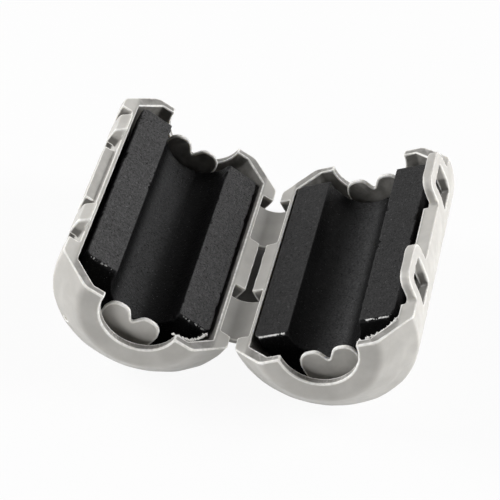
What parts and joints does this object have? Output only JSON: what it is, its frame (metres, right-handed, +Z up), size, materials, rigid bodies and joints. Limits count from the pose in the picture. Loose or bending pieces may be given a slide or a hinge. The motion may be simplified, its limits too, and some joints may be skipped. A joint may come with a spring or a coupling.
{
  "type": "clip-on ferrite bead",
  "caption": "Clip-on ferrite bead, open: two half-round plastic shells joined by moulded hinge straps, each holding half a ferrite ring, with snap loops and wedge catches.",
  "frame": {"origin": "bottom centre of the bounding box, on the surface the open part stands on, midway between the two round backs, under the hinge line", "axes": "+Z up; +Y along the cable channels and the hinge line; +X from the shell with the wedge catches to the shell with the latch loops"},
  "size_m": [0.0438, 0.038, 0.0195],
  "materials": {
    "case": "satin moulded nylon, light warm grey",
    "ferrite": "ground sintered ferrite, charcoal, dull",
    "strap": "thin bent nylon, the same moulding as the case"
  },
  "bodies": {
    "catch_half": {"shell_with_catches": "case", "core_in_catch_shell": "ferrite", "hinge_strap_far": "strap", "hinge_strap_near": "strap"},
    "loop_half": {"shell_with_loops": "case", "core_in_loop_shell": "ferrite"}
  },
  "joints": [
    {"name": "strap_hinge", "type": "hinge", "parent": "catch_half", "child": "loop_half", "pos_m": [0, 0, 0.00604], "axis": [0, -1, 0], "range_deg": [-54, 126], "deforming": ["hinge_strap_far", "hinge_strap_near"]}
  ]
}
